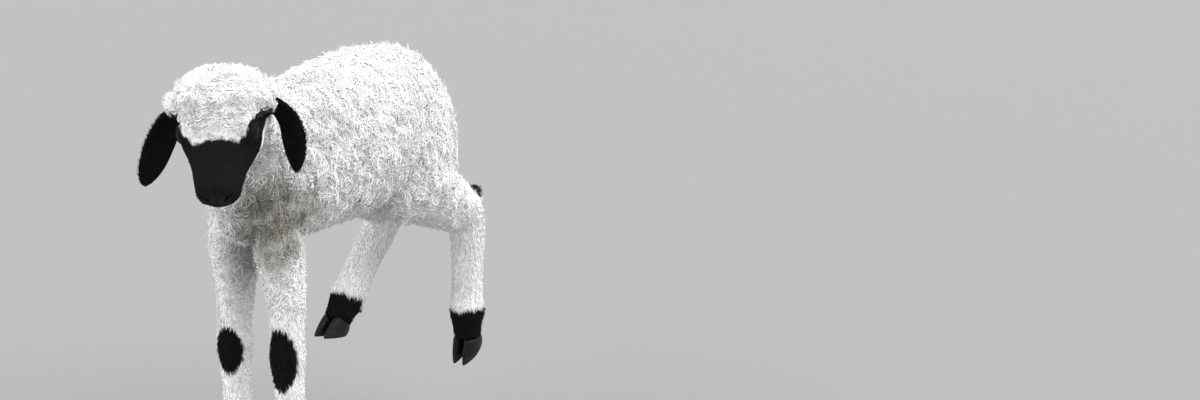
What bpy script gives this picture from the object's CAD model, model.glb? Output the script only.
"""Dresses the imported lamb: its skin, curly wool, short fur, eyes, hooves, stand and studio."""

import math

import bmesh
import bpy
import numpy as np
from bpy.props import FloatProperty, FloatVectorProperty, IntProperty, PointerProperty
from mathutils import Matrix, Vector
from mathutils.kdtree import KDTree


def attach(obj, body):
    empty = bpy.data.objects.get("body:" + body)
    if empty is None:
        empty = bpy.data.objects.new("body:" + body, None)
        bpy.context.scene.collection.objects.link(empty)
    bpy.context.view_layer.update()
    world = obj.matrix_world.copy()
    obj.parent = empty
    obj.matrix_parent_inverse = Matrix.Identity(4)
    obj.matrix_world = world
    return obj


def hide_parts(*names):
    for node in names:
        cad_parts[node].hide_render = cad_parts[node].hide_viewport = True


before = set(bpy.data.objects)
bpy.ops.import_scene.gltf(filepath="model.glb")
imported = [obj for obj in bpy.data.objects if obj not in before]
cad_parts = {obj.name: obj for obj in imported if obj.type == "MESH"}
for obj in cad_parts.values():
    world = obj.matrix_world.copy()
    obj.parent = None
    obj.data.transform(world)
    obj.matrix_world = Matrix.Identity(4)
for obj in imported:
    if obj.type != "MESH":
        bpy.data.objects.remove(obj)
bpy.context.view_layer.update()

bl_info = {
    "name": "Blacknose lamb",
    "version": (1, 0, 0),
    "blender": (4, 5, 0),
    "location": "3D View > Sidebar > Lamb",
    "description": "Builds the looks of a Valais blacknose lamb around its packed solids",
    "category": "Object",
}


def metres(*rows):
    """Rows of sizes that are given in millimetres."""
    return tuple(tuple(size / 1000 for size in row) for row in rows)


# The lamb's own frame: x forwards from the line of its forelegs, y to its left, z up from its front
# toes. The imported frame's origin is under the middle of the base, so the lamb is moved by this.
LEAP = Vector((0.100, 0.0, 0.044))
LEFTWARDS = Vector((0, 1, 0))
SIDES = ((1, "left"), (-1, "right"))
UPWARDS = Vector((0, 0, 1))
# The x between forelegs and hind legs.
MIDWAY = -0.10

# The body under the fleece: x, height of the axis, half width, rise, drop.
TORSO = metres(
    (56, 342, 14, 24, 24),
    (44, 342, 28, 48, 46),
    (15, 345, 43, 80, 64),
    (-30, 347, 54, 95, 72),
    (-90, 350, 67, 98, 78),
    (-150, 352, 73, 98, 80),
    (-210, 356, 69, 91, 73),
    (-254, 358, 59, 80, 64),
    (-288, 354, 45, 62, 55),
    (-309, 346, 24, 34, 34),
)
# Each row below: x, y, z, half width, reach to the front or top, reach to the back or underside.
NECK = metres(
    (-50, 0, 368, 48, 44, 66),
    (0, 4, 390, 47, 36, 64),
    (38, 14, 420, 42, 21, 54),
    (68, 26, 450, 38, 17, 46),
    (90, 36, 468, 26, 14, 30),
)
TAIL = metres(
    (-290, 0, 376, 13, 11, 13),
    (-322, 0, 370, 13, 12, 12),
    (-338, 2, 344, 12, 12, 11),
    (-343, 5, 304, 11, 10, 10),
    (-341, 8, 266, 9, 8, 8),
    (-337, 10, 244, 5, 5, 5),
)
TAIL_FROM = -0.325
TAIL_HALF_WIDTH = 0.0215
# Leg rows: x, z, half width, front, back. Each leg ends at its coronet.
FORELEG_Y = 0.037
FORELEG = metres(
    (10, 318, 14, 16, 20),
    (3, 282, 19, 26, 31),
    (-3, 250, 18, 24, 28),
    (-3, 212, 17, 21, 23),
    (-1, 176, 16, 18, 18),
    (0, 154, 18, 19, 18),
    (-1, 130, 15.5, 15.5, 16.5),
    (-3, 98, 14.5, 14.5, 15.5),
    (-4, 66, 15.5, 15.5, 17.5),
    (-3, 50, 16.5, 16, 19),
    (1, 36, 14.5, 14.5, 16),
    (4, 26, 15, 15.5, 15.5),
)
HIND_Y = 0.046
HIND_HANGING = metres(
    (-216, 306, 14, 18, 16),
    (-242, 282, 28, 34, 36),
    (-288, 256, 24, 28, 31),
    (-317, 234, 19.5, 22, 24),
    (-324, 208, 17.5, 19.5, 19.5),
    (-324, 176, 16, 16.5, 17.5),
    (-323, 140, 16, 16, 17.5),
    (-322, 116, 18, 17.5, 20),
    (-322, 98, 15, 15, 16),
    (-322, 84, 15, 15.5, 15.5),
)
HIND_SWINGING = metres(
    (-204, 306, 14, 18, 16),
    (-228, 283, 28, 34, 36),
    (-266, 258, 24, 28, 31),
    (-291, 236, 20, 22, 24),
    (-281, 213, 17.5, 19, 19.5),
    (-258, 190, 16, 16.5, 17.5),
    (-232, 162, 16, 16, 17.5),
    (-216, 145, 18, 17.5, 20),
    (-204, 132, 15, 15, 16),
    (-195, 122, 15, 15.5, 15.5),
)
HOCK_ROW = 3
FETLOCK_ROW = -3
LEG_FUR = 0.001
# The heights between which the short fur of the legs gives way to wool.
FORELEG_WOOL = (0.205, 0.235)
HIND_WOOL_END = 0.262
# Rounded forms: centre and radii. Those of the head are in its own frame.
THIGH = metres((-239, 36, 314), (47, 30, 70))
SHOULDER = metres((-2, 28, 342), (42, 20, 64))
CROWN = metres((2, 0, 6), (37, 50, 35))
HEAD_SIDES = (
    metres((4, 18, -20), (31, 29, 29)),
    metres((2, 46, 4), (15, 13, 13)),
    metres((40, 27, 6), (19, 15, 16)),
)
THIGH_TILT = math.radians(-24)
HEEL_TILT = math.radians(-28)
HEEL_BACK = 0.016
HEEL_RISE = 0.010
HEEL_RADII = (0.012, 0.010, 0.020)

# Markings: the black of knees and hocks, by how far each lies from its joint, and its reach.
KNEE_AT = (0.020, FORELEG_Y, 0.152)
KNEE_MARKS = {1: metres((0, 2, 2), (24, 20, 38)), -1: metres((0, 4, 0), (22, 17, 28))}
HOCK_MARK = metres((-22, 6, 51), (21, 26, 31))
FOOT_TOP = 0.052
STAIN_AT, STAIN_REACH = metres((35, 56, 318), (90, 62, 70))
NOSE_AT, NOSE_REACH = metres((112, 0, -10), (10, 16, 11))
MUZZLE_START = 0.0570
FOREHEAD_WOOL = 0.0430
MUZZLE_BEND = 6.0
MUZZLE_HALF_WIDTH = 0.026
# The eye patch, from behind the eye over it towards the nose, on either side of the head.
PATCH_ENDS = metres((6, 44, 0), (42, 37, 6), (70, 28, -8))
PATCH_BEHIND = 0.0120
PATCH_AHEAD = 0.0130
PATCH_WIDER_ON_LEFT = 0.0025

# The head's own frame: its origin lies between the ear roots, f to the nose, s to its left, u up.
HEAD_AT = Vector((0.104, 0.043, 0.466))
HEAD_YAW = math.radians(33.0)
HEAD_DROOP = math.radians(42.0)
HEAD_ROLL = math.radians(5.5)
HEAD_WALL_AT = (0.070, 0.026, 0.456)
HEAD_WALL_NORMAL = (0.80, 0.42, 0.43)
POLL_SLACK = 0.004
SKULL = metres(
    (-34, 2, 20, 16, 20),
    (-18, 0, 36, 30, 36),
    (8, 0, 42, 35, 44),
    (26, -1, 43.5, 33, 45),
    (42, -3, 42, 29, 43),
    (58, -5, 35, 24, 38),
    (75, -6, 28.5, 19, 33),
    (92, -7, 25, 15.5, 29),
    (105, -8, 21.5, 13, 24),
    (113, -9, 14.5, 8, 16),
)
# Hills and hollows of the skin: lift, then centre and reach on one side of the head.
FACE_HILLS = metres(
    (2.2, 36, 33, 22, 14, 10, 7),
    (-1.6, 58, 26, 4, 10, 7, 7),
    (1.2, 66, 0, 15, 22, 10, 12),
    (1.6, 40, 40, -22, 20, 12, 12),
    (1.4, 104, 16, -14, 8, 9, 7),
)
POLL_HILLS = metres(
    (4.5, 4, 36, 34, 24, 14, 14),
    (3, 12, 43, -4, 16, 12, 12),
)
EYE_RADIUS = 0.0112
EYE_AT = (0.041, 0.0330, 0.008)
EYE_REACH = 0.024
EYE_SURROUND = (math.radians(62), math.radians(112))
EYE_OPENING = (math.radians(34), math.radians(46))
SKIN_OVER_EYE = 0.0006
SKIN_UNDER_EYE = 0.0030
LID_OPENING = (math.radians(49), math.radians(30))
LID_LIFT = 0.0011
MOUTH_LINE = -0.0215
MOUTH_CORNER = 0.070
MOUTH_DEPTH = 0.0021
MOUTH_THICKNESS = 0.0011
UNDERLIP_DEPTH = 0.0010
LIP_CLEFT_DEPTH = 0.0013
NOSTRIL_AT = (0.1075, 0.0105, -0.0065)
NOSTRIL_DEPTH = 0.0048
NOSTRIL_RIM = 0.0010
EAR_ROOT = (-0.003, 0.037, 0.003)
EAR_LIFTS = {1: 0.003, -1: -0.001}
EAR_LENGTH = 0.104
EAR_SLOPES = {1: (math.radians(14), math.radians(88)), -1: (math.radians(44), math.radians(68))}
EAR_SWEEPS = {1: -0.30, -1: 0.10}
EAR_FACING = (0.72, -0.60, 0.35)
# Ear rows: share of the length, half width, hollow, thickness.
EAR = (
    (0.00, 0.0075, 0.0000, 0.0100),
    (0.07, 0.0105, 0.0010, 0.0098),
    (0.16, 0.0138, 0.0034, 0.0078),
    (0.27, 0.0164, 0.0066, 0.0052),
    (0.42, 0.0184, 0.0080, 0.0036),
    (0.60, 0.0185, 0.0070, 0.0030),
    (0.76, 0.0165, 0.0052, 0.0027),
    (0.88, 0.0125, 0.0034, 0.0024),
    (0.96, 0.0075, 0.0016, 0.0020),
    (1.00, 0.0028, 0.0004, 0.0012),
)

HOOF_LENGTH = 0.030
HOOF_HEEL = 0.011
CLAW_HALF_WIDTH = 0.0066
CLAW_HALF_LENGTH = 0.0150
CLEFT = 0.0022
CLAW_TAPER = 0.45
CLAW_TURNED_IN = 0.0012
GAP = 0.0003

BASE_HALF_LENGTH = 0.170
BASE_HALF_WIDTH = 0.125
BASE_THICKNESS = 0.018
BASE_BEVEL = 0.004
ROD_RADIUS = 0.006
ROD_X = -0.052
ROD_TOP = 0.288

SKIN_VOXEL = 0.0028
BODY, EAR_LEFT, EAR_RIGHT, LIDS = range(4)
FLESH = (
    "head", "neck", "torso", "tail", "foreleg_left", "foreleg_right", "hindleg_left",
    "hindleg_right", "hindcannon_left", "hindcannon_right", "ear_left", "ear_right",
)
WOOL_PIECES = ("wool_rump", "wool_loin", "wool_back", "wool_withers", "wool_neck", "wool_head")
WOOL_SEED = 5
FUR_SEED = 8
CURLS_TO_A_LOCK = 9
CROWN_DENSITY = 1.7
# How much shorter the curls are there than on the back.
SHORTER_ON_HEAD = 0.30
SHORTER_BELOW = 0.50
SHORTER_ON_TAIL = 0.34
SHORTER_AT_BROW = 0.45
WOOL_RISE = math.radians(34)
TUFT_SIDES = 3
TUFT_FLATNESS = 0.7
UV_PATCH = 0.003

WARM_SHADE = (0.60, 0.58, 0.55, 1.0)
COOL_SHADE = (0.50, 0.505, 0.53, 1.0)
SOILED = (0.19, 0.18, 0.137, 1.0)
FADED_BLACK = (0.013, 0.012, 0.011, 1.0)

# The photograph's camera, from a fit to the head, back and feet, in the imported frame.
CAMERA_AT = Vector((2.973, 2.3497, 1.5272))
CAMERA_RIGHT = Vector((-0.5527, 0.8334, 0.0))
CAMERA_UP = Vector((-0.2493, -0.1653, 0.9542))
FOCAL_PIXELS = 3589
IMAGE_WIDTH = 1200
SENSOR_WIDTH = 36.0
KEY_FROM = (-0.30, 0.65, 1.0)
FILL_FROM = (0.90, -0.45, 0.34)
SKY_COLOUR = (0.95, 0.97, 1.0, 1.0)
FLOOR_HALF_SIZE = 30.0

RGBA = {"size": 4, "min": 0, "max": 1}


class CoatSettings(bpy.types.PropertyGroup):
    """Sizes of the wool and the short fur."""

    wool_length: FloatProperty(
        name="Wool length", description="Length of a curl on the back", default=0.0150,
        unit="LENGTH")
    wool_half_width: FloatProperty(
        name="Wool half width", description="Half the width of a curl at its middle",
        default=0.00082, unit="LENGTH")
    wool_curl: FloatProperty(
        name="Wool curl", description="How far a curl turns from its root to its tip",
        default=math.radians(265), subtype="ANGLE")
    wool_count: IntProperty(
        name="Wool curls", description="Curls on the whole fleece", default=40000)
    leg_fur_length: FloatProperty(
        name="Leg fur length", description="Length of the short fur on the legs",
        default=0.0062, unit="LENGTH")
    leg_fur_count: IntProperty(
        name="Leg tufts", description="Tufts on the four legs", default=19000)
    face_fur_length: FloatProperty(
        name="Face fur length", description="Length of the short fur on the face",
        default=0.0032, unit="LENGTH")
    face_fur_count: IntProperty(
        name="Face tufts", description="Tufts on the face", default=12000)
    ear_fur_length: FloatProperty(
        name="Ear fur length", description="Length of the short fur on the ears",
        default=0.0040, unit="LENGTH")
    ear_fur_count: IntProperty(
        name="Ear tufts", description="Tufts on both ears", default=6500)


class ColourSettings(bpy.types.PropertyGroup):
    """Colours of the lamb and its stand."""

    fleece: FloatVectorProperty(
        name="Fleece", description="White of the wool", default=(0.94, 0.94, 0.935, 1.0),
        subtype="COLOR", **RGBA)
    fleece_root: FloatVectorProperty(
        name="Fleece root", description="Warmer tone deep in the wool",
        default=(0.89, 0.88, 0.86, 1.0),
        subtype="COLOR", **RGBA)
    black: FloatVectorProperty(
        name="Black", description="Black of face, ears, knees, hocks and feet",
        default=(0.006, 0.006, 0.007, 1.0),
        subtype="COLOR", **RGBA)
    horn: FloatVectorProperty(
        name="Horn", description="Horn of the hooves", default=(0.007, 0.006, 0.006, 1.0),
        subtype="COLOR", **RGBA)
    iris: FloatVectorProperty(
        name="Iris", description="Brown of the eyes", default=(0.014, 0.007, 0.004, 1.0),
        subtype="COLOR", **RGBA)
    base: FloatVectorProperty(
        name="Base", description="Painted base of the stand", default=(0.20, 0.20, 0.21, 1.0),
        subtype="COLOR", **RGBA)


class StudioSettings(bpy.types.PropertyGroup):
    """Floor and lights."""

    floor: FloatVectorProperty(
        name="Floor", description="Pale floor", default=(0.25, 0.25, 0.245, 1.0),
        subtype="COLOR", **RGBA)
    key_strength: FloatProperty(
        name="Key strength", description="Strength of the broad overhead light", default=3.1)
    fill_strength: FloatProperty(
        name="Fill strength", description="Strength of the low light from ahead", default=1.8)
    spread: FloatProperty(
        name="Spread", description="Angle from which both lights come",
        default=math.radians(64), subtype="ANGLE")
    sky: FloatProperty(
        name="Sky", description="Strength of the even light from all round", default=1.0)


class Term:
    """A number or colour in a node tree, on which Python's operators make Math nodes."""

    def __init__(self, tree, socket):
        self.tree = tree
        self.socket = socket

    def math(self, operation, *others):
        node = self.tree.nodes.new("ShaderNodeMath")
        node.operation = operation
        for target, value in zip(node.inputs, (self, *others)):
            feed(self.tree, target, value)
        return Term(self.tree, node.outputs[0])

    def __add__(self, other):
        return self.math("ADD", other)

    def __mul__(self, other):
        return self.math("MULTIPLY", other)

    def __sub__(self, other):
        return self.math("SUBTRACT", other)

    def __rsub__(self, other):
        return (self * -1.0) + other

    __radd__ = __add__
    __rmul__ = __mul__


def feed(tree, target, value):
    """Sets a socket's value, or links it."""
    if isinstance(value, Term):
        tree.links.new(value.socket, target)
    else:
        target.default_value = value


class Finish:
    """One material and the nodes that make its finish."""

    def __init__(self, name, roughness, **sockets):
        self.material = bpy.data.materials.new(name)
        self.material.use_nodes = True
        self.tree = self.material.node_tree
        self.shader = self.tree.nodes["Principled BSDF"]
        self.set(Roughness=roughness, **sockets)

    def set(self, **sockets):
        for name, value in sockets.items():
            feed(self.tree, self.shader.inputs[name.replace("_", " ")], value)

    def node(self, kind, settings, values, output=0):
        """Any node: its settings, then its sockets' values or links by name or number."""
        made = self.tree.nodes.new(kind)
        for name, value in settings.items():
            setattr(made, name, value)
        for name, value in values.items():
            feed(self.tree, made.inputs[name], value)
        return Term(self.tree, made.outputs[output])

    def attribute(self, name, output="Fac"):
        return self.node("ShaderNodeAttribute", {"attribute_name": name}, {}, output)

    def places(self):
        return self.node("ShaderNodeTexCoord", {}, {}, "Object")

    def noise(self, scale, detail=2.0, places=None):
        values = {"Scale": scale, "Detail": detail, "Vector": places or self.places()}
        return self.node("ShaderNodeTexNoise", {}, values)

    def cells(self, scale):
        """How far places lie from the middle of their own cell."""
        return self.node("ShaderNodeTexVoronoi", {}, {"Vector": self.places(), "Scale": scale})

    def ramp(self, low, high, value):
        """0 below low, 1 above high, smooth between."""
        settings = {"interpolation_type": "SMOOTHSTEP"}
        return self.node("ShaderNodeMapRange", settings,
                         {"Value": value, "From Min": low, "From Max": high})

    def mix(self, share, first, second):
        """The first colour where the share is 0, the second where it is 1."""
        values = {0: share, 6: first, 7: second}
        return self.node("ShaderNodeMix", {"data_type": "RGBA"}, values, 2)

    def bump(self, height, distance, strength=1.0):
        self.set(Normal=self.node("ShaderNodeBump", {}, {
            "Height": height, "Distance": distance, "Strength": strength}))


def coat_colour(finish, colours, along, tone, shade=0.0):
    """White wool, warmer at its root, and black where the markings are."""
    white = finish.mix(finish.ramp(0.0, 0.55, along), colours.fleece_root, colours.fleece)
    dull = finish.ramp(0.35, 0.75, finish.noise(28.0, 3.0)) * 0.10 + tone * 0.08 + shade
    white = finish.mix(dull, white, WARM_SHADE)
    white = finish.mix(finish.attribute("Stain") * 0.92, white, SOILED)
    white = finish.mix(finish.attribute("Shade") * 0.40, white, COOL_SHADE)
    black = finish.mix(tone * 0.35, colours.black, FADED_BLACK)
    return finish.mix(finish.attribute("Black"), white, black)


def skin_finish(colours):
    """Skin under the coat: the same markings, with the flat short fur as fine streaks."""
    finish = Finish("coat_skin", 0.8, Specular_IOR_Level=0.07)
    streaks = finish.noise(900.0, 3.0)
    bare, woolly = finish.attribute("Bare"), finish.attribute("Woolly")
    rings = (finish.cells(300.0) * 19.0 + finish.noise(420.0, 1.0) * 12.0).math("SINE")
    coat = coat_colour(finish, colours, 0.5 + streaks * 0.5, streaks * 0.6,
                       woolly * (0.24 - rings * 0.11))
    pebbles = finish.cells(1100.0)
    leather = finish.mix(pebbles, (0.016, 0.015, 0.015, 1.0), (0.006, 0.006, 0.006, 1.0))
    finish.set(Base_Color=finish.mix(bare * finish.attribute("Black"), coat, leather),
               Roughness=0.86 - bare * 0.46)
    finish.bump(streaks * (1.0 - bare * 0.8) + finish.noise(260.0, 2.0) * 0.8
                + rings * woolly * 0.8 - pebbles * bare * 0.9, 0.0005)
    return finish.material


def tuft_finish(colours, name, roughness, **sockets):
    """Wool or short fur, with the skin's markings."""
    finish = Finish(name, roughness, **sockets)
    finish.set(Base_Color=coat_colour(finish, colours, finish.attribute("Along"),
                                      finish.attribute("Tone")))
    return finish.material


def eye_finish(colours):
    """A dark wet eye with a level slot of a pupil."""
    finish = Finish("wet_eye", 0.12, Coat_Weight=0.4, Coat_Roughness=0.02, Specular_IOR_Level=0.05)
    gaze = finish.attribute("Gaze", "Vector")
    along, upright, out = (finish.node("ShaderNodeSeparateXYZ", {}, {"Vector": gaze}, axis)
                           for axis in "XYZ")
    pupil = 1.0 - finish.ramp(0.75, 1.05, (along * along) * 6.2 + (upright * upright) * 30.0)
    iris_edge = finish.ramp(0.60, 0.72, (along * along + upright * upright).math("SQRT"))
    iris = finish.mix(finish.noise(14.0, 3.0, gaze), colours.iris, (0.010, 0.005, 0.003, 1.0))
    round_iris = finish.mix(iris_edge, iris, (0.008, 0.006, 0.006, 1.0))
    finish.set(Base_Color=finish.mix(pupil * finish.ramp(0.0, 0.2, out), round_iris,
                                     (0.002, 0.002, 0.003, 1.0)))
    return finish.material


def horn_finish(colours):
    """Dark horn with growth rings and a dusty sole edge."""
    finish = Finish("horn", 0.42, Specular_IOR_Level=0.18)
    grown = finish.attribute("Grown")
    rings = (grown * 60.0 + finish.noise(120.0, 2.0) * 3.0).math("SINE")
    worn = finish.ramp(0.70, 1.0, grown + finish.noise(220.0, 3.0) * 0.2)
    finish.set(Base_Color=finish.mix(worn * 0.5, colours.horn, (0.028, 0.025, 0.022, 1.0)),
               Roughness=0.38 + worn * 0.3)
    finish.bump(rings * 0.5 + finish.noise(500.0, 2.0), 0.00022)
    return finish.material


def steel_finish():
    """Brushed steel of the rod."""
    finish = Finish("brushed_rod", 0.32, Metallic=1.0)
    stretch = finish.node("ShaderNodeMapping", {}, {
        "Vector": finish.places(), "Scale": (1.0, 1.0, 0.02)})
    brushed = finish.noise(900.0, 2.0, stretch)
    finish.set(Base_Color=finish.mix(brushed, (0.50, 0.51, 0.52, 1.0), (0.62, 0.62, 0.63, 1.0)),
               Roughness=0.24 + brushed * 0.16)
    return finish.material


def base_finish(colours):
    """Satin grey paint on wood, faintly uneven."""
    finish = Finish("painted_base", 0.5)
    uneven = finish.noise(40.0, 4.0)
    finish.set(Base_Color=finish.mix(uneven, colours.base, (0.24, 0.24, 0.25, 1.0)),
               Roughness=0.42 + uneven * 0.16)
    finish.bump(finish.noise(700.0, 2.0), 0.00008)
    return finish.material


def head_axes():
    """The head's forward, left and up directions in the lamb's frame."""
    forward = Vector((
        math.cos(HEAD_DROOP) * math.cos(HEAD_YAW),
        math.cos(HEAD_DROOP) * math.sin(HEAD_YAW),
        -math.sin(HEAD_DROOP),
    ))
    level_left = Vector((-math.sin(HEAD_YAW), math.cos(HEAD_YAW), 0.0))
    left = Matrix.Rotation(HEAD_ROLL, 3, forward) @ level_left
    return forward, left, forward.cross(left)


FORWARD, LEFT, UP = head_axes()
HEAD_TURN = Matrix((FORWARD, LEFT, UP)).transposed()


def head_point(f, s, u):
    """A point of the head's frame in the lamb's frame."""
    return HEAD_AT + FORWARD * f + LEFT * s + UP * u


def head_places(points):
    """Points of the lamb's frame in the head's frame."""
    return (points - np.array(HEAD_AT)) @ np.array((FORWARD, LEFT, UP)).T


def folded_places(points):
    """Points in the head's frame, with its right side laid over its left."""
    places = head_places(points)
    places[:, 1] = np.abs(places[:, 1])
    return places


def lengths_of(vectors):
    return np.linalg.norm(vectors, axis=1)


def off_centre(points, centre, reach):
    """How far points lie from a centre: 1 where the reach ends."""
    return lengths_of((points - np.array(centre)) / np.array(reach))


def smooth(low, high, values):
    """0 below low, 1 above high, smooth between."""
    t = np.clip((values - low) / (high - low), 0.0, 1.0)
    return t * t * (3 - 2 * t)


def to_capsule(points, start, end):
    """Distance of points from a line between two points."""
    start, end = np.array(start), np.array(end)
    along = end - start
    t = np.clip((points - start) @ along / (along @ along), 0.0, 1.0)
    return lengths_of(points - start - t[:, None] * along)


def waves(points, size):
    """A cheap smooth ripple between about -1 and 1, which roughens the edges of markings."""
    x, y, z = (points / size).T
    return (np.sin(x * 1.7 + np.sin(y * 1.3)) + np.sin(y * 2.1 + np.sin(z * 1.1 + 2.0))
            + np.sin(z * 1.9 + np.sin(x * 0.9 + 4.0))) / 3


def leg_rows(side):
    return HIND_HANGING if side > 0 else HIND_SWINGING


def down_leg(start, end):
    """The direction from one row of a leg to another."""
    along = np.array((end[0] - start[0], 0.0, end[1] - start[1]))
    return along / np.linalg.norm(along)


def black_share(points):
    """How black the coat is at points of the lamb's frame: nose, eyes, ears, knees, hocks, feet."""
    ragged = waves(points, 0.0035) * 0.0016 + waves(points, 0.0011) * 0.0008
    sock = ragged * 1.6 + waves(points, 0.0085) * 0.0030
    folded = folded_places(points)
    f, s, u = folded.T
    muzzle = (f - MUZZLE_START - 0.10 * np.maximum(0.0, -u - 0.018)
              - MUZZLE_BEND * np.minimum(s, MUZZLE_HALF_WIDTH) ** 2
              + 0.9 * np.maximum(0.0, s - MUZZLE_HALF_WIDTH))
    left_side = head_places(points)[:, 1] > 0
    behind, eye, ahead = PATCH_ENDS
    half_width = PATCH_AHEAD + PATCH_WIDER_ON_LEFT * left_side
    patch = np.maximum(half_width - to_capsule(folded, eye, ahead),
                       PATCH_BEHIND - to_capsule(folded, behind, eye))
    blend = np.maximum(0.0, 1 - np.abs(muzzle - patch) / 0.012)
    face = np.maximum(muzzle, patch) + 0.0035 * blend * blend
    share = smooth(-0.0012, 0.0012, face + ragged) * on_head(points, POLL_SLACK)
    x, y, z = points.T
    share = np.maximum(share, smooth(-0.002, 0.002, FOOT_TOP - z + sock) * (x > MIDWAY))
    for side in (1, -1):
        rows = leg_rows(side)
        shift, knee_reach = KNEE_MARKS[side]
        knee = np.array(KNEE_AT) * (1, side, 1) + shift
        shift, hock_reach = HOCK_MARK
        x_hock, z_hock = rows[HOCK_ROW][:2]
        hock = (x_hock + shift[0], (HIND_Y + shift[1]) * side, z_hock + shift[2])
        for joint, reach, low, high in ((knee, knee_reach, -0.05, 0.06),
                                        (hock, hock_reach, -0.06, 0.08)):
            near = 1 - off_centre(points, joint, reach)
            share = np.maximum(share, smooth(low, high, near + ragged * 30))
        fetlock = rows[FETLOCK_ROW]
        away = points - np.array((fetlock[0], HIND_Y * side, fetlock[1]))
        below = away @ down_leg(fetlock, rows[-1]) + 0.001 + 0.003 * side
        mine = (np.sign(y) == side) * (x < MIDWAY) * (lengths_of(away) < 0.08)
        share = np.maximum(share, smooth(-0.002, 0.002, below + sock) * mine)
    return share


def stain_share(points):
    """Where the wool is dulled: the brisket, between the forelegs and along the belly."""
    x, y, z = points.T
    between = (smooth(-0.10, 0.02, x) * smooth(0.21, 0.25, z) * (1 - smooth(0.27, 0.31, z))
               * (1 - smooth(0.014, 0.030, np.abs(y))))
    brisket = 1 - smooth(0.50, 1.05, off_centre(points, STAIN_AT, STAIN_REACH))
    return np.clip((brisket + 0.4 * between) * (0.9 + 0.4 * waves(points, 0.010)), 0, 1)


def shade_share(points):
    """Where the white wool is a little greyer: over the forehead towards the black."""
    head = head_places(points)
    front, top = smooth(0.004, 0.046, head[:, 0]), smooth(-0.004, 0.010, head[:, 2])
    return front * top * on_head(points)


def beyond_wall(points):
    """How far points lie on the head's side of the poll."""
    return (points - np.array(HEAD_WALL_AT)) @ np.array(HEAD_WALL_NORMAL)


def on_head(points, slack=0.0):
    return beyond_wall(points) > -slack


def ring(bm, segments, place):
    """A closed ring of vertices, moved by place from the unit circle, as its edges."""
    made = bmesh.ops.create_circle(bm, cap_ends=False, radius=1.0, segments=segments)["verts"]
    for i, vert in enumerate(made):
        vert.co = place(i, vert.co.x, vert.co.y)
    return list({edge for vert in made for edge in vert.link_edges})


def cross_section(bm, centre, side, top, half_width, rise, drop, segments, square=1.0):
    """One closed cross-section. Its reach to the top and to the underside differ."""
    def place(_i, across, high):
        across = math.copysign(abs(across) ** square, across)
        high = math.copysign(abs(high) ** square, high)
        return centre + side * (across * half_width) + top * (high * (rise if high > 0 else drop))
    return ring(bm, segments, place)


def bridge(bm, rings):
    for first, second in zip(rings, rings[1:]):
        bmesh.ops.bridge_loops(bm, edges=first + second)


def skin_over(bm, rings):
    """Bridges cross-sections and closes both ends."""
    bridge(bm, rings)
    for end in (rings[0], rings[-1]):
        bmesh.ops.contextual_create(bm, geom=end)


def loft(bm, sections, segments, square=1.0):
    skin_over(bm, [cross_section(bm, *section, segments, square) for section in sections])


def blended(rows, steps):
    """More rows between the given ones, on a smooth curve through them."""
    made = []
    last = len(rows) - 1
    for i in range(last):
        before, start = rows[max(i - 1, 0)], rows[i]
        end, after = rows[i + 1], rows[min(i + 2, last)]
        for k in range(steps):
            t = k / steps
            made.append(tuple(
                0.5 * (2 * b + (c - a) * t + (2 * a - 5 * b + 4 * c - d) * t * t
                       + (3 * b - a - 3 * c + d) * t ** 3)
                for a, b, c, d in zip(before, start, end, after)
            ))
    made.append(tuple(rows[-1]))
    return made


def path_sections(rows):
    """Sections for rows of x, y, z, half width, rise and drop, square to their own path."""
    points = [Vector(row[:3]) for row in rows]
    sections = []
    for i, row in enumerate(rows):
        along = points[min(i + 1, len(rows) - 1)] - points[max(i - 1, 0)]
        along.normalize()
        top = along.cross(-LEFTWARDS).normalized()
        side = top.cross(along).normalized()
        sections.append((points[i], side, top, *row[3:]))
    return sections


def ellipsoid(bm, centre, radii, turn=None, segments=32, rings=20):
    made = bmesh.ops.create_uvsphere(bm, u_segments=segments, v_segments=rings, radius=1.0)
    shape = Matrix.Diagonal((*radii, 1.0))
    if turn is not None:
        shape = turn.to_4x4() @ shape
    bmesh.ops.transform(bm, matrix=Matrix.Translation(centre) @ shape, verts=made["verts"])


def tuck(x, z):
    """The share by which the upper forelegs lie closer together than the knees."""
    return 0.14 * min(1.0, max(0.0, (z - 0.19) / 0.07)) if x > MIDWAY else 0.0


def leg_sections(rows, y):
    full = []
    for i, (x, z, *sizes) in enumerate(rows):
        fur = LEG_FUR if i < len(rows) - 1 else 0.0
        full.append((x, y * (1 - tuck(x, z)), z, *(size + fur for size in sizes)))
    return path_sections(blended(full, 4))


def added(bm, build, *details):
    """Builds a form in a bmesh of its own, which keeps each step short, and adds it to another."""
    small = bmesh.new()
    build(small, *details)
    mesh = mesh_from(small, "form")
    bm.from_mesh(mesh)
    bpy.data.meshes.remove(mesh)


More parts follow.
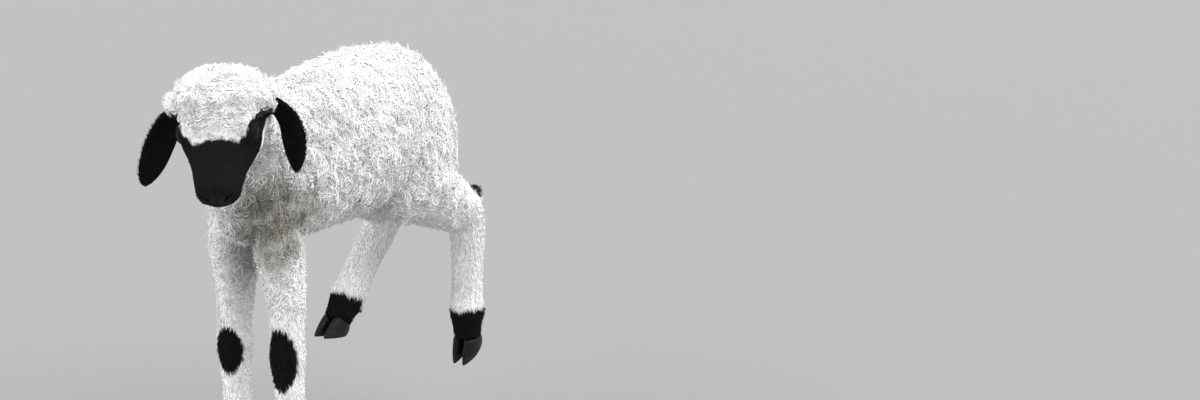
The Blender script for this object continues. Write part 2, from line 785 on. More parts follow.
def body_forms(bm):
    """Closed forms of the whole body, which overlap and are then made one."""
    added(bm, loft, [(Vector((x, 0.0, z)), LEFTWARDS, UPWARDS, *sizes)
                     for x, z, *sizes in blended(TORSO, 4)], 48)
    added(bm, loft, path_sections(blended(NECK, 4)), 36)
    added(bm, loft, path_sections(blended(TAIL, 4)), 16)
    added(bm, loft, [(head_point(f, 0.0, axis), LEFT, UP, *sizes)
                     for f, axis, *sizes in blended(SKULL, 6)], 48, 0.92)
    added(bm, ellipsoid, head_point(*CROWN[0]), CROWN[1], HEAD_TURN)
    for side in (1, -1):
        for ((x, y, z), radii), tilt in ((THIGH, THIGH_TILT), (SHOULDER, 0.0)):
            added(bm, ellipsoid, Vector((x, y * side, z)), radii, Matrix.Rotation(tilt, 3, "Y"))
        rows = leg_rows(side)
        added(bm, loft, leg_sections(FORELEG, FORELEG_Y * side), 24)
        added(bm, loft, leg_sections(rows, HIND_Y * side), 24)
        x, z = rows[HOCK_ROW][:2]
        added(bm, ellipsoid, Vector((x - HEEL_BACK, HIND_Y * side, z + HEEL_RISE)), HEEL_RADII,
              Matrix.Rotation(HEEL_TILT, 3, "Y"))
        added(bm, dew_claws, FORELEG, FORELEG_Y * side)
        added(bm, dew_claws, rows, HIND_Y * side)
        for (f, s, u), radii in HEAD_SIDES:
            added(bm, ellipsoid, head_point(f, s * side, u), radii, HEAD_TURN)


def hoof_frame(rows, y):
    """The coronet's centre and the pastern's directions down and to the front."""
    last, before = rows[-1], rows[-2]
    down = Vector((last[0] - before[0], 0.0, last[1] - before[1])).normalized()
    return Vector((last[0], y, last[1])), down, Vector((-down.z, 0.0, down.x))


def dew_claws(bm, rows, y):
    """The two small points behind a fetlock."""
    x, z, wide, _front, back = rows[FETLOCK_ROW]
    _centre, down, front = hoof_frame(rows, y)
    turn = down.to_track_quat("Z", "Y").to_matrix()
    for side in (1, -1):
        centre = Vector((x, y + side * wide * 0.45, z)) - front * (back * 0.90) + down * 0.004
        ellipsoid(bm, centre, (0.0042, 0.0042, 0.0075), turn)


def linked(name, data):
    """A new object in the scene."""
    made = bpy.data.objects.new(name, data)
    bpy.context.scene.collection.objects.link(made)
    return made


def mesh_from(bm, name):
    """The mesh of a bmesh, which is then freed."""
    mesh = bpy.data.meshes.new(name)
    bm.to_mesh(mesh)
    bm.free()
    return mesh


def new_piece(bm, name, material, slot, *nodes, at=LEAP):
    """A finished piece from a bmesh in the lamb's frame."""
    bmesh.ops.recalc_face_normals(bm, faces=bm.faces)
    bmesh.ops.translate(bm, vec=at, verts=bm.verts)
    mesh = mesh_from(bm, name)
    mesh.polygons.foreach_set("use_smooth", [True] * len(mesh.polygons))
    return placed(mesh, name, material, slot, *nodes)


def placed(mesh, name, material, slot, *nodes):
    """A piece that rides on the model and stands for the solids named."""
    made = linked(name, mesh)
    mesh.materials.append(material)
    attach(made, "root")
    if nodes:
        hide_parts(*nodes)
    return made


def one_surface(bm):
    """Melts overlapping closed forms into one even surface."""
    forms = linked("forms", mesh_from(bm, "forms"))
    remesh = forms.modifiers.new("melt", "REMESH")
    remesh.mode = "VOXEL"
    remesh.voxel_size = SKIN_VOXEL
    soften = forms.modifiers.new("soften", "SMOOTH")
    soften.factor = 0.5
    soften.iterations = 7
    graph = bpy.context.evaluated_depsgraph_get()
    melted = bpy.data.meshes.new_from_object(forms.evaluated_get(graph))
    bpy.data.objects.remove(forms)
    made = bmesh.new()
    made.from_mesh(melted)
    bpy.data.meshes.remove(melted)
    return made


def finer_face(bm):
    """Divides the skin of the face, and once more the nose, the mouth and the eyes' surrounds."""
    for part in (
        lambda f, s, u: f > 0.022,
        lambda f, s, u: (f > 0.098) | ((f > 0.068) & (u < -0.010)) | eye_near(f, s, u),
    ):
        bm.verts.index_update()
        f, s, u = head_places(np.array([vert.co for vert in bm.verts])).T
        chosen = part(f, np.abs(s), u) & (np.abs(s) < 0.06) & (np.abs(u) < 0.06)
        edges = [edge for edge in bm.edges
                 if chosen[edge.verts[0].index] and chosen[edge.verts[1].index]]
        bmesh.ops.subdivide_edges(bm, edges=edges, cuts=1, use_grid_fill=True)


def eye_near(f, s, u):
    """Whether places, folded to one side of the head, lie by the eye."""
    return lengths_of(np.stack((f, s, u), axis=1) - np.array(EYE_AT)) < 0.020


def mound(places, centre, reach):
    """A soft hill of height 1 about a centre, in the head's frame."""
    return np.exp(-np.sum(((places - np.array(centre)) / np.array(reach)) ** 2, axis=1))


def shape_face(bm):
    """Moves the skin of the face along its normals into brows, nose, nostrils, lips and mouth."""
    bm.normal_update()
    points = np.array([vert.co for vert in bm.verts])
    normals = np.array([vert.normal for vert in bm.verts])
    folded = folded_places(points)
    f, s, u = folded.T
    lift = np.zeros(len(points))
    for height, *hill in FACE_HILLS:
        lift += height * mound(folded, hill[:3], hill[3:])
    line = MOUTH_LINE + 0.0030 * smooth(0.095, 0.112, f) - 0.0020 * smooth(0.09, MOUTH_CORNER, f)
    reach = smooth(MOUTH_CORNER, MOUTH_CORNER + 0.008, f)
    lift -= MOUTH_DEPTH * np.exp(-((u - line) / MOUTH_THICKNESS) ** 2) * reach
    lift -= UNDERLIP_DEPTH * smooth(0.0, -0.003, u - line) * smooth(0.085, 0.105, f)
    cleft = np.exp(-(s / 0.0008) ** 2) * smooth(0.104, 0.110, f) * smooth(line, line + 0.003, u)
    lift -= LIP_CLEFT_DEPTH * cleft
    slant = (s - NOSTRIL_AT[1]) * 0.70 + (u - NOSTRIL_AT[2]) * 0.72
    across = (s - NOSTRIL_AT[1]) * 0.72 - (u - NOSTRIL_AT[2]) * 0.70 - slant * slant * 60.0
    near = np.exp(-((f - NOSTRIL_AT[0]) / 0.010) ** 4)
    slit = np.exp(-(slant / 0.0046) ** 4) * np.exp(-(across / 0.0016) ** 2) * near
    rim = np.exp(-(slant / 0.0066) ** 4) * np.exp(-((np.abs(across) - 0.0036) / 0.0016) ** 2) * near
    lift += NOSTRIL_RIM * rim - NOSTRIL_DEPTH * slit
    lift *= (f > 0.015) & on_head(points)
    for height, *hill in POLL_HILLS:
        lift += height * mound(folded, hill[:3], hill[3:])
    moved = points + normals * lift[:, None]
    for side in (1, -1):
        moved = round_eye(moved, side)
    for vert, place in zip(bm.verts, moved):
        vert.co = place


def eye_axes(side):
    """How an eye looks out: directions out of the socket, along the lids and up."""
    out = (LEFT * side * 0.90 + FORWARD * 0.36 + UP * 0.24).normalized()
    along = (FORWARD - out * FORWARD.dot(out)).normalized()
    return out, along, out.cross(along) * side


def eye_centre(side):
    f, s, u = EYE_AT
    return head_point(f, s * side, u)


def round_eye(points, side):
    """Draws the skin up round an eyeball, and under it where the lids open."""
    out, _along, _upright = eye_axes(side)
    centre = np.array(eye_centre(side))
    spokes = points - centre
    away = lengths_of(spokes)
    spokes /= away[:, None] + 1e-9
    angle = np.arccos(np.clip(spokes @ np.array(out), -1, 1))
    close = 1 - smooth(*EYE_SURROUND, angle)
    raised = away + np.maximum(0.0, EYE_RADIUS + SKIN_OVER_EYE - away) * close
    sunk = 1 - smooth(*EYE_OPENING, angle)
    raised = raised * (1 - sunk) + np.minimum(raised, EYE_RADIUS - SKIN_UNDER_EYE) * sunk
    near = (away < EYE_REACH) & (angle < EYE_SURROUND[1])
    return np.where(near[:, None], centre + spokes * raised[:, None], points)


def lids(bm, side):
    """Both lids of an eye: a shell close round the eyeball, an almond opening and a thick rim."""
    out, along, upright = eye_axes(side)
    centre = eye_centre(side)
    rings = []
    for share, lift in ((0.0, -0.0004), (0.0, 0.0005), (0.05, LID_LIFT), (0.16, LID_LIFT),
                        (0.32, 0.0009), (0.55, 0.0004), (0.75, -0.0006), (1.0, -0.0030)):
        def place(_i, across, high):
            sag = 0.72 if high < 0 else 1.0
            almond = Vector((across * LID_OPENING[0],
                             high * abs(high) ** 0.6 * LID_OPENING[1] * sag))
            turn = almond.lerp(Vector((across, high)) * math.radians(96), share)
            away = turn.length
            spoke = along * (turn.x / away) + upright * (turn.y / away)
            return centre + (out * math.cos(away) + spoke * math.sin(away)) * (EYE_RADIUS + lift)
        rings.append(ring(bm, 40, place))
    bridge(bm, rings)


def ear_sections(side):
    """Cross-sections of an ear: centre, across, hollow side, half width, hollow and thickness."""
    outwards = LEFT * side
    level = Vector((outwards.x, outwards.y, 0.0)).normalized()
    f, s, u = EAR_ROOT
    point = head_point(f, s * side, u + EAR_LIFTS[side])
    facing = FORWARD * EAR_FACING[0] + outwards * EAR_FACING[1] + UP * EAR_FACING[2]
    start, end = EAR_SLOPES[side]
    sections = []
    before = 0.0
    for share, *sizes in blended(EAR, 5):
        slope = start + (end - start) * min(1.0, share / 0.62) ** 0.8
        along = level * math.cos(slope) - UPWARDS * math.sin(slope)
        along += FORWARD * (EAR_SWEEPS[side] * math.sin(math.pi * share))
        along.normalize()
        point = point + along * (EAR_LENGTH * (share - before))
        face = (facing - along * facing.dot(along)).normalized()
        sections.append((point, along.cross(face).normalized(), face, *sizes))
        before = share
    return sections


def ear(bm, side):
    """A cupped ear with thin edges."""
    half = 14
    rings = []
    for centre, across, face, wide, hollow, thick in ear_sections(side):
        def place(i, _x, _y):
            back = i <= half
            a = -1 + 2 * i / half if back else 3 - 2 * i / half
            high = -hollow * (1 - a * a)
            if not back:
                high += thick * (1 - a ** 4)
            return centre + across * (a * wide) + face * high
        rings.append(ring(bm, 2 * half, place))
    skin_over(bm, rings)


def mark_parts(bm, first, part):
    """Notes which part of the body the newest vertices are."""
    layer = bm.verts.layers.int["Part"]
    bm.verts.ensure_lookup_table()
    for vert in bm.verts[first:]:
        vert[layer] = part


def write_values(mesh, name, values, kind="FLOAT"):
    layer = mesh.attributes.new(name, kind, "POINT")
    field = "vector" if kind == "FLOAT_VECTOR" else "value"
    layer.data.foreach_set(field, np.asarray(values, np.float32).ravel())


def read_points(mesh, field="co"):
    values = np.empty(len(mesh.vertices) * 3, np.float32)
    mesh.vertices.foreach_get(field, values)
    return values.reshape(-1, 3).astype(float)


def bare_share(points):
    """Where the nose has almost no hair."""
    return 1 - smooth(0.8, 1.1, off_centre(folded_places(points), NOSE_AT, NOSE_REACH))


def write_markings(mesh, points, parts, times=1):
    """Notes black, stain and shade for each point, or for each point's own run of vertices."""
    for name, values in (
        ("Black", np.where(parts > BODY, 1.0, black_share(points))),
        ("Stain", stain_share(points)),
        ("Shade", shade_share(points)),
    ):
        write_values(mesh, name, np.repeat(values, times))


def body_skin(context):
    """One skin for all the flesh: body, face, lids and ears."""
    bm = bmesh.new()
    body_forms(bm)
    bm = one_surface(bm)
    finer_face(bm)
    shape_face(bm)
    bm.verts.layers.int.new("Part")
    for side, part in ((1, EAR_LEFT), (-1, EAR_RIGHT)):
        for build, marked in ((lids, LIDS), (ear, part)):
            count = len(bm.verts)
            added(bm, build, side)
            mark_parts(bm, count, marked)
    skin = new_piece(bm, "skin", skin_finish(context.scene.lamb_colours), "fleece_white", *FLESH)
    points = read_points(skin.data) - np.array(LEAP)
    parts = read_parts(skin.data)
    write_markings(skin.data, points, parts)
    write_values(skin.data, "Bare", np.where(parts == LIDS, 0.3, bare_share(points)))
    woolly = (1 - on_face(points)) * (1 - on_legs(points))
    write_values(skin.data, "Woolly", np.where(parts > BODY, 0.0, woolly))


def read_parts(mesh):
    parts = np.empty(len(mesh.vertices), np.int32)
    mesh.attributes["Part"].data.foreach_get("value", parts)
    return parts


class Roots:
    """Places on the skin where tufts may grow, drawn evenly over its area."""

    def __init__(self, skin, seed):
        mesh = skin.data
        mesh.calc_loop_triangles()
        self.draw = np.random.default_rng(seed)
        self.points = read_points(mesh) - np.array(LEAP)
        self.normals = read_points(mesh, "normal")
        corners = np.empty(len(mesh.loop_triangles) * 3, np.int32)
        mesh.loop_triangles.foreach_get("vertices", corners)
        self.corners = corners.reshape(-1, 3)
        self.parts = read_parts(mesh)[self.corners[:, 0]]
        a, b, c = (self.points[self.corners[:, i]] for i in range(3))
        self.middles = (a + b + c) / 3
        self.areas = lengths_of(np.cross(b - a, c - a)) / 2

    def pick(self, weights, count):
        """Roots spread evenly: their points, normals and parts, closer where the weight is high."""
        chance = self.areas * weights
        tries = 4 * count
        chosen = self.draw.choice(len(chance), tries, p=chance / chance.sum())
        first, second = np.sort(self.draw.random((2, tries)), axis=0)
        shares = np.stack((first, second - first, 1 - second), axis=1)
        points = np.einsum("ij,ijk->ik", shares, self.points[self.corners[chosen]])
        room = np.sqrt(chance.sum() * 1.5 / count / np.maximum(weights[chosen], 0.05))
        cells = np.floor(points / room[:, None]).astype(np.int64) @ np.array((1, 9973, 99991))
        kept = np.sort(np.unique(cells, return_index=True)[1])
        rest = np.setdiff1d(np.arange(tries), kept, assume_unique=True)
        kept = self.draw.permutation(np.concatenate((kept, rest[:max(0, count - len(kept))])))
        kept = kept[:count]
        chosen, shares = chosen[kept], shares[kept]
        normals = np.einsum("ij,ijk->ik", shares, self.normals[self.corners[chosen]])
        normals /= lengths_of(normals)[:, None]
        return points[kept], normals, self.parts[chosen]


def on_tail(points):
    x, y, _z = points.T
    return (x < TAIL_FROM) & (np.abs(y) < TAIL_HALF_WIDTH)


def on_legs(points):
    """1 on the lower legs with their short fur, 0 on the woolly body."""
    x, y, z = points.T
    fore = (1 - smooth(*FORELEG_WOOL, z)) * (x > MIDWAY)
    hind = np.zeros(len(points))
    for side in (1, -1):
        rows = leg_rows(side)
        hock = np.array((rows[HOCK_ROW][0], HIND_Y * side, rows[HOCK_ROW][1]))
        below = 1 - smooth(-0.004, 0.026, (points - hock) @ np.array((0.45, 0.0, 0.89)))
        mine = (np.abs(y - HIND_Y * side) < 0.040) * (x < MIDWAY)
        hind = np.maximum(hind, below * mine * (z < HIND_WOOL_END))
    return np.maximum(fore, hind) * (1 - on_tail(points))


def brow_line(points):
    """How far forward along the head the wool reaches: furthest over the forehead."""
    _f, s, u = head_places(points).T
    forehead = FOREHEAD_WOOL + MUZZLE_BEND * np.minimum(s, MUZZLE_HALF_WIDTH) ** 2
    return 0.012 + forehead * np.clip((u - 0.004) / 0.016, 0, 1)


def on_face(points):
    """1 on the short-haired face, 0 under the woolly cap and cheeks."""
    folded = folded_places(points)
    face = smooth(-0.003, 0.003, folded[:, 0] - brow_line(points) + waves(points, 0.004) * 0.002)
    eye = lengths_of(folded - np.array((0.040, 0.036, 0.006)))
    return np.maximum(face, 1 - smooth(0.017, 0.021, eye)) * on_head(points)


def coat_lie(points):
    """Which way the coat lies: back and down on the body, out from the crown, down the legs."""
    x, y, z = points.T
    body = np.tile((-0.75, 0.0, -0.65), (len(points), 1))
    body[:, 1] += np.sign(y) * 0.15
    legs = np.tile((0.0, 0.0, -1.0), (len(points), 1))
    swinging = (x < MIDWAY) & (y < 0) & (z < 0.232)
    legs[swinging] = down_leg(HIND_SWINGING[HOCK_ROW], HIND_SWINGING[-1])
    cap = points - np.array(head_point(-0.012, 0.0, 0.040))
    cap /= lengths_of(cap)[:, None] + 1e-9
    cap[:, 2] -= 0.35
    head = on_head(points, POLL_SLACK).astype(float)[:, None]
    leg, muzzle = on_legs(points)[:, None], on_face(points)[:, None]
    lie = body * (1 - head) * (1 - leg) + legs * leg * (1 - head)
    return lie + head * (cap * (1 - muzzle) - np.array(FORWARD) * muzzle)


def unit(vectors):
    return vectors / (lengths_of(vectors)[:, None] + 1e-12)


def dots(first, second):
    return np.sum(first * second, axis=1)[:, None]


def square_to(axes, vectors):
    """Unit vectors square to the axes, on the side to which the given ones point."""
    return unit(vectors - axes * dots(vectors, axes))


def turned(vectors, axes, angles):
    """Vectors turned about unit axes."""
    c, s = np.cos(angles)[:, None], np.sin(angles)[:, None]
    return vectors * c + np.cross(axes, vectors) * s + axes * dots(vectors, axes) * (1 - c)


def around(first, second):
    """How far round a form points lie, from 0 to 1."""
    return np.arctan2(first, second) / (2 * math.pi) + 0.5


def chart(points, parts):
    """An unwrap by forms: head, trunk, tail, four legs and two ears have a tile each."""
    f, s, u = head_places(points).T
    x, y, z = points.T
    places = np.stack(((x + 0.36) / 0.52, 0.5 + 0.5 * around(y, z - 0.35)), axis=1)

    def lay(mine, across, upright):
        places[mine] = np.stack((across, upright), axis=1)[mine]

    tile = (x < MIDWAY) * 2 + (y < 0)
    centre_x = np.where(x > MIDWAY, 0.0, -0.30 + np.where(y < 0, 0.05, 0.0))
    centre_y = np.sign(y) * np.where(x > MIDWAY, FORELEG_Y, HIND_Y)
    lay(on_legs(points) > 0.5,
        0.42 + 0.10 * tile + 0.09 * around(y - centre_y, x - centre_x), 0.46 * z / 0.27)
    lay(on_tail(points) & (z > 0.232),
        0.83 + 0.07 * around(y - 0.004, x + 0.340), 0.46 * (z - 0.22) / 0.17)
    lay(on_head(points, POLL_SLACK),
        0.01 + 0.39 * around(s, u + 0.006), 0.46 * (f + 0.05) / 0.17)
    for part, left in ((EAR_LEFT, 0.91), (EAR_RIGHT, 0.96)):
        lay(parts == part, left + 0.02 + f * 0.3, 0.23 + u * 1.6)
    return np.clip(places, 0.003, 0.997)


def tuft_faces(segments):
    """The triangles of one tuft: its sides, its tip and the cap at its root."""
    faces = []
    last = (segments - 1) * TUFT_SIDES
    for first in range(0, last, TUFT_SIDES):
        for k in range(TUFT_SIDES):
            a, b = first + k, first + (k + 1) % TUFT_SIDES
            faces += [(a, b, b + TUFT_SIDES), (a, b + TUFT_SIDES, a + TUFT_SIDES)]
    faces += [(last + k, last + (k + 1) % TUFT_SIDES, last + TUFT_SIDES) for k in range(TUFT_SIDES)]
    return np.array(faces + [(2, 1, 0)])


def tuft_mesh(name, tufts, profile, sink):
    """Tapering solid tufts: each leaves its root, turns about its axis and ends in a tip."""
    roots, normals, parts, starts, axes, curls, lengths, widths, pulls, tones = tufts
    count, segments = len(roots), len(profile)
    points = roots - normals * sink
    direction = starts
    verts = []
    for step, girth in enumerate(profile):
        centre = points + pulls * (step / segments) ** 2
        broad = square_to(direction, axes)
        flat = np.cross(direction, broad)
        size = (widths * girth)[:, None]
        for k in range(TUFT_SIDES):
            angle = 2 * math.pi * k / TUFT_SIDES
            verts.append(centre + broad * size * math.cos(angle)
                         + flat * size * TUFT_FLATNESS * math.sin(angle))
        points = points + direction * (lengths / segments)[:, None]
        direction = turned(starts, axes, curls * (step + 1) / segments)
    verts = np.stack((*verts, points + pulls), axis=1)
    per = verts.shape[1]
    every = (tuft_faces(segments)[None] + (np.arange(count) * per)[:, None, None]).reshape(-1)
    mesh = bpy.data.meshes.new(name)
    mesh.vertices.add(count * per)
    mesh.vertices.foreach_set("co", (verts + np.array(LEAP)).astype(np.float32).ravel())
    mesh.loops.add(len(every))
    mesh.loops.foreach_set("vertex_index", every.astype(np.int32))
    mesh.polygons.add(len(every) // 3)
    mesh.polygons.foreach_set("loop_start", np.arange(0, len(every), 3, dtype=np.int32))
    mesh.polygons.foreach_set("use_smooth", np.ones(len(every) // 3, bool))
    mesh.update()
    write_markings(mesh, roots, parts, per)
    write_values(mesh, "Tone", np.repeat(tones, per))
    rise = np.append(np.repeat(np.arange(segments) / segments, TUFT_SIDES), 1.0)
    write_values(mesh, "Along", np.tile(rise, count))
    turns = 2 * math.pi * np.arange(per - 1) / TUFT_SIDES
    spread = np.append(np.stack((np.cos(turns), np.sin(turns)), axis=1), [[0.0, 0.0]], axis=0)
    spread = spread * (UV_PATCH / 2) * (1.15 - rise[:, None])
    places = (chart(roots, parts)[:, None] + spread[None]).reshape(-1, 2)
    layer = mesh.uv_layers.new(name="OFBake")
    layer.data.foreach_set("uv", places[every].astype(np.float32).ravel())
    return mesh


def tuft_frames(points, normals, draw, rise, spread):
    """Directions for each tuft: the way it starts, and an axis across its lie."""
    ahead = square_to(normals, coat_lie(points) + draw.normal(0, spread, points.shape))
    starts = ahead * np.cos(rise)[:, None] + normals * np.sin(rise)[:, None]
    return unit(starts), np.cross(ahead, normals)


def wool_lengths(points, settings):
    """Length of the curls: longest on the back, shorter on head, tail and down to the legs."""
    x, y, z = points.T
    head, tail = smooth(-0.03, 0.01, beyond_wall(points)), on_tail(points)
    arm = (smooth(-0.09, -0.04, x) * smooth(0.024, 0.034, np.abs(y))
           * (1 - smooth(0.30, 0.36, z)))
    low = np.maximum(1 - smooth(0.20, 0.32, z), 0.7 * arm)
    share = (1 - SHORTER_ON_HEAD * head - SHORTER_BELOW * low * (1 - tail) * (1 - head)
             - SHORTER_ON_TAIL * tail)
    behind = smooth(0.0, 0.024, brow_line(points) - head_places(points)[:, 0])
    return settings.wool_length * share * (1 - head * SHORTER_AT_BROW * (1 - behind))


def wool_arrays(roots, settings, count):
    """The curls of the fleece, gathered in locks whose curls turn the same way."""
    draw = roots.draw
    weights = (1 - on_legs(roots.middles)) * (1 - on_face(roots.middles)) * (roots.parts == BODY)
    closer = np.where(on_head(roots.middles), CROWN_DENSITY, 1.0)
    points, normals, parts = roots.pick(weights * closer, count)
    centres = points[::CURLS_TO_A_LOCK]
    total = len(centres)
    tree = KDTree(total)
    for i, centre in enumerate(centres):
        tree.insert(centre, i)
    tree.balance()
    locks = np.array([tree.find(point)[1] for point in points])

    def varied(middle, low, high, spread):
        """A value for each curl, which differs more from lock to lock than within a lock."""
        return middle + draw.uniform(low, high, total)[locks] + draw.normal(0, spread, count)

    swirl = varied(0.0, -1.2, 1.2, 0.40)
    curl = draw.uniform(0.75, 1.20, total)[locks] * draw.uniform(0.88, 1.12, count)
    rise = varied(WOOL_RISE, -0.12, 0.12, 0.12)
    starts, side = tuft_frames(points, normals, draw, rise, 0.10)
    starts, side = turned(starts, normals, swirl), turned(side, normals, swirl)
    handed = np.where(draw.random(total) < 0.5, -1.0, 1.0)[locks]
    lean = varied(0.0, 0.35, 0.80, 0.12)
    axes = unit(normals * handed[:, None] - side * lean[:, None])
    lengths = wool_lengths(points, settings) * draw.uniform(0.82, 1.15, count)
    pulls = (centres[locks] - points) * draw.uniform(0.0, 0.30, count)[:, None]
    tones = draw.random(total)[locks] * 0.4 + draw.random(count) * 0.6
    widths = settings.wool_half_width * draw.uniform(0.8, 1.2, count)
    return (points, normals, parts, starts, axes, settings.wool_curl * curl, lengths, widths,
            pulls, tones)


def fur_arrays(roots, weights, count, length, half_width, rise):
    """Short tufts that lie along the skin."""
    draw = roots.draw
    points, normals, parts = roots.pick(weights, count)
    rises = np.radians(rise) + draw.normal(0, 0.12, count)
    starts, side = tuft_frames(points, normals, draw, rises, 0.12)
    lengths = length(points) * draw.uniform(0.75, 1.2, count)
    widths = half_width * draw.uniform(0.8, 1.2, count)
    return (points, normals, parts, starts, side, np.full(count, -0.5), lengths, widths,
            np.zeros((count, 3)), draw.random(count))


def slices(arrays, names):
    """Arrays of tufts in even shares from the tail to the head, each with its piece's name."""
    order = np.argsort(arrays[0] @ np.array((1.0, 0.0, 0.25)))
    for name, share in zip(names, np.array_split(order, len(names))):
        yield name, [values[share] for values in arrays]


def count_of(number):
    return number


class LAMB_OT_skin(bpy.types.Operator):
    """Build the skin under the coat"""

    bl_idname = "lamb.skin"
    bl_label = "Skin"

    def execute(self, context):
        body_skin(context)
        return {"FINISHED"}


class LAMB_OT_wool(bpy.types.Operator):
    """Cover the body and the crown with curly wool"""

    bl_idname = "lamb.wool"
    bl_label = "Wool"

    def execute(self, context):
        settings = context.scene.lamb_coat
        roots = Roots(bpy.data.objects["skin"], WOOL_SEED)
        arrays = wool_arrays(roots, settings, count_of(settings.wool_count))
        finish = tuft_finish(context.scene.lamb_colours, "wool", 0.9, Specular_IOR_Level=0.1,
                             Sheen_Weight=0.2, Sheen_Roughness=0.6)
        for name, share in slices(arrays, WOOL_PIECES):
            mesh = tuft_mesh(name, share, profile=(0.8, 1.0, 1.0, 0.9, 0.65), sink=0.0010)
            placed(mesh, name, finish, "fleece_white")
        return {"FINISHED"}


class LAMB_OT_fur(bpy.types.Operator):
    """Cover the legs, face and ears with short fur"""

    bl_idname = "lamb.fur"
    bl_label = "Short fur"

    def execute(self, context):
        settings = context.scene.lamb_coat
        roots = Roots(bpy.data.objects["skin"], FUR_SEED)
        finish = tuft_finish(context.scene.lamb_colours, "short_fur", 0.66, Specular_IOR_Level=0.10)
        body = roots.parts == BODY
        ears = (roots.parts == EAR_LEFT) | (roots.parts == EAR_RIGHT)
        face = on_face(roots.middles) * (1 - bare_share(roots.middles))
        for name, slot, weights, count, length, width, rise in (
            ("fur_legs", "fleece_white", on_legs(roots.middles) * body, settings.leg_fur_count,
             lambda points: settings.leg_fur_length
             * (0.72 + 0.4 * smooth(0.06, 0.22, points[:, 2])), 0.00065, 22),
            ("fur_face", "coat_black", face * body, settings.face_fur_count,
             lambda points: settings.face_fur_length, 0.00036, 14),
            ("fur_ears", "coat_black", ears, settings.ear_fur_count,
             lambda points: settings.ear_fur_length, 0.00042, 14),
        ):
            arrays = fur_arrays(roots, weights.astype(float), count_of(count), length, width, rise)
            placed(tuft_mesh(name, arrays, profile=(0.9, 0.8), sink=0.0003), name, finish, slot)
        return {"FINISHED"}


class LAMB_OT_eyes(bpy.types.Operator):
    """Set the eyeballs in their sockets"""

    bl_idname = "lamb.eyes"
    bl_label = "Eyes"

    def execute(self, context):
        finish = eye_finish(context.scene.lamb_colours)
        for side, name in SIDES:
            out, along, upright = eye_axes(side)
            turn = Matrix((along, upright, out)).transposed()
            bm = bmesh.new()
            ellipsoid(bm, Vector(), (1.0, 1.0, 1.0), None, 64, 40)
            gaze = [vert.co.copy() for vert in bm.verts]
            for vert in bm.verts:
                bulge = 1.0 + 0.05 * max(0.0, vert.co.z - 0.72) / 0.28
                vert.co = turn @ (vert.co * (EYE_RADIUS * bulge))
            bmesh.ops.translate(bm, vec=eye_centre(side), verts=bm.verts)
            eye = new_piece(bm, f"eyeball_{name}", finish, "eye_brown", f"eye_{name}")
            write_values(eye.data, "Gaze", gaze, "FLOAT_VECTOR")
        return {"FINISHED"}


def claw(bm, rows, y, side):
    """One of a foot's two claws, from the coronet to the sole, with how far down each point is."""
    centre, down, front = hoof_frame(rows, y)
    middle = centre + LEFTWARDS * side * (CLAW_HALF_WIDTH + CLEFT / 2)
    rings = []
    grown = []
    for share, grow in ((0.0, 0.90), (0.02, 0.99), (0.12, 1.03), (0.3, 1.08), (0.5, 1.11),
                        (0.7, 1.10), (0.88, 1.06), (0.96, 1.02), (0.99, 0.97), (1.0, 0.88)):
        def place(_i, ahead, across):
            taper = 1.0 - CLAW_TAPER * share * max(ahead, 0.0) ** 2
            reach = HOOF_HEEL + (HOOF_LENGTH - HOOF_HEEL) * (ahead + 1) / 2
            shift = (0.0010 + 0.0030 * (ahead + 1) / 2) * share
            inward = -side * CLAW_TURNED_IN * share * max(ahead, 0.0)
            grown.append(share)
            return (
                middle
                + down * (GAP + reach * share)
                + front * (ahead * CLAW_HALF_LENGTH * grow + shift)
                + LEFTWARDS * (across * CLAW_HALF_WIDTH * min(grow, 1.06) * taper + inward)
            )
        rings.append(ring(bm, 28, place))
    skin_over(bm, rings)
    return grown


class LAMB_OT_hooves(bpy.types.Operator):
    """Make the eight claws of the cloven hooves"""

    bl_idname = "lamb.hooves"
    bl_label = "Hooves"

    def execute(self, context):
        finish = horn_finish(context.scene.lamb_colours)
        for side, name in SIDES:
            legs = (("fore", FORELEG, FORELEG_Y * side), ("hind", leg_rows(side), HIND_Y * side))
            for leg, rows, y in legs:
                for inner, claw_side in (("outer", side), ("inner", -side)):
                    bm = bmesh.new()
                    grown = claw(bm, rows, y, claw_side)
                    place = f"{leg}_{name}_{inner}"
                    hoof = new_piece(bm, f"horn_{place}", finish, "hoof_horn", f"hoof_{place}")
                    write_values(hoof.data, "Grown", grown)
        return {"FINISHED"}


class LAMB_OT_stand(bpy.types.Operator):
    """Build the display base and its rod"""

    bl_idname = "lamb.stand"
    bl_label = "Stand"

    def execute(self, context):
        bm = bmesh.new()
        bmesh.ops.create_circle(bm, cap_ends=True, radius=1.0, segments=128)
        bmesh.ops.scale(bm, vec=(BASE_HALF_LENGTH, BASE_HALF_WIDTH, 1.0), verts=bm.verts)
        grown = bmesh.ops.extrude_face_region(bm, geom=bm.faces[:])
        raised = [item for item in grown["geom"] if isinstance(item, bmesh.types.BMVert)]
        bmesh.ops.translate(bm, vec=UPWARDS * BASE_THICKNESS, verts=raised)
        rims = [edge for edge in bm.edges
                if all(vert.co.z > BASE_THICKNESS / 2 for vert in edge.verts)
                and len(edge.link_faces) == 2]
        bmesh.ops.bevel(bm, geom=rims, offset=BASE_BEVEL, segments=4, profile=0.5, affect="EDGES",
                        material=-1)
        finish = base_finish(context.scene.lamb_colours)
        new_piece(bm, "display_base", finish, "base_grey", "stand_base", at=Vector())
        bm = bmesh.new()
        low, high = BASE_THICKNESS + GAP, ROD_TOP + LEAP.z
        bmesh.ops.create_cone(bm, cap_ends=True, segments=48, radius1=ROD_RADIUS,
                              radius2=ROD_RADIUS, depth=high - low)
        middle = Vector((ROD_X + LEAP.x, 0.0, (low + high) / 2))
        new_piece(bm, "display_rod", steel_finish(), "rod_steel", "stand_rod", at=middle)
        return {"FINISHED"}


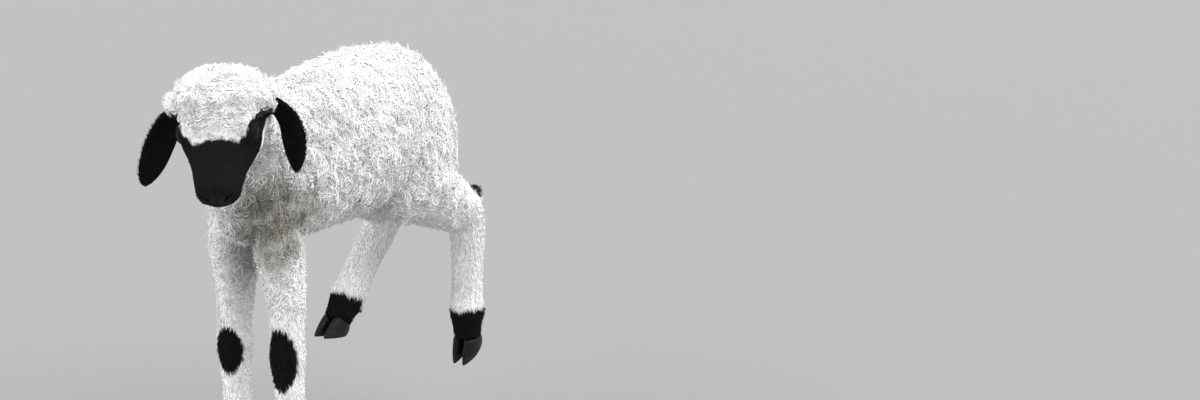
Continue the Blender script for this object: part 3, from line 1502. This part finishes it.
def broad_light(name, source, strength, spread):
    """A light that comes evenly from a wide part of the sky, with no falloff and no edge."""
    data = bpy.data.lights.new(name, "SUN")
    data.energy = strength
    data.angle = spread
    light = linked(name, data)
    light.rotation_euler = Vector(source).to_track_quat("Z", "Y").to_euler()


class LAMB_OT_stage(bpy.types.Operator):
    """Set up the pale floor, soft lights and the photograph's camera"""

    bl_idname = "lamb.stage"
    bl_label = "Stage"

    def execute(self, context):
        studio = context.scene.lamb_studio
        bm = bmesh.new()
        bmesh.ops.create_grid(bm, x_segments=1, y_segments=1, size=FLOOR_HALF_SIZE)
        floor = linked("floor", mesh_from(bm, "floor"))
        floor.data.materials.append(Finish("pale_floor", 0.75, Base_Color=studio.floor).material)
        broad_light("key", KEY_FROM, studio.key_strength, studio.spread)
        broad_light("fill", FILL_FROM, studio.fill_strength, studio.spread)
        context.scene.view_settings.view_transform = "Standard"
        world = bpy.data.worlds.new("soft_room")
        world.use_nodes = True
        background = world.node_tree.nodes["Background"]
        background.inputs["Color"].default_value = SKY_COLOUR
        background.inputs["Strength"].default_value = studio.sky
        context.scene.world = world
        data = bpy.data.cameras.new("photograph")
        data.sensor_width = SENSOR_WIDTH
        data.lens = SENSOR_WIDTH * FOCAL_PIXELS / IMAGE_WIDTH
        camera = linked("photograph", data)
        turn = Matrix((CAMERA_RIGHT, CAMERA_UP, CAMERA_RIGHT.cross(CAMERA_UP))).transposed()
        camera.matrix_world = Matrix.Translation(CAMERA_AT) @ turn.to_4x4()
        context.scene.camera = camera
        return {"FINISHED"}


class LAMB_PT_dressing(bpy.types.Panel):
    """Lists the lamb's settings and the steps that build it"""

    bl_idname = "LAMB_PT_dressing"
    bl_label = "Lamb"
    bl_space_type = "VIEW_3D"
    bl_region_type = "UI"
    bl_category = "Lamb"

    def draw(self, context):
        scene = context.scene
        for settings in (scene.lamb_coat, scene.lamb_colours, scene.lamb_studio):
            for name in settings.__annotations__:
                self.layout.prop(settings, name)
        for operator in OPERATORS:
            self.layout.operator(operator.bl_idname)


OPERATORS = (
    LAMB_OT_skin,
    LAMB_OT_wool,
    LAMB_OT_fur,
    LAMB_OT_eyes,
    LAMB_OT_hooves,
    LAMB_OT_stand,
    LAMB_OT_stage,
)
GROUPS = {
    "lamb_coat": CoatSettings,
    "lamb_colours": ColourSettings,
    "lamb_studio": StudioSettings,
}


def register():
    for group in (*GROUPS.values(), *OPERATORS, LAMB_PT_dressing):
        bpy.utils.register_class(group)
    for name, group in GROUPS.items():
        setattr(bpy.types.Scene, name, PointerProperty(type=group))


def unregister():
    for name in GROUPS:
        delattr(bpy.types.Scene, name)
    for group in (LAMB_PT_dressing, *reversed(OPERATORS), *GROUPS.values()):
        bpy.utils.unregister_class(group)


def main():
    register()
    bpy.ops.lamb.skin()
    bpy.ops.lamb.wool()
    bpy.ops.lamb.fur()
    bpy.ops.lamb.eyes()
    bpy.ops.lamb.hooves()
    bpy.ops.lamb.stand()
    bpy.ops.lamb.stage()


if __name__ == "__main__":
    main()
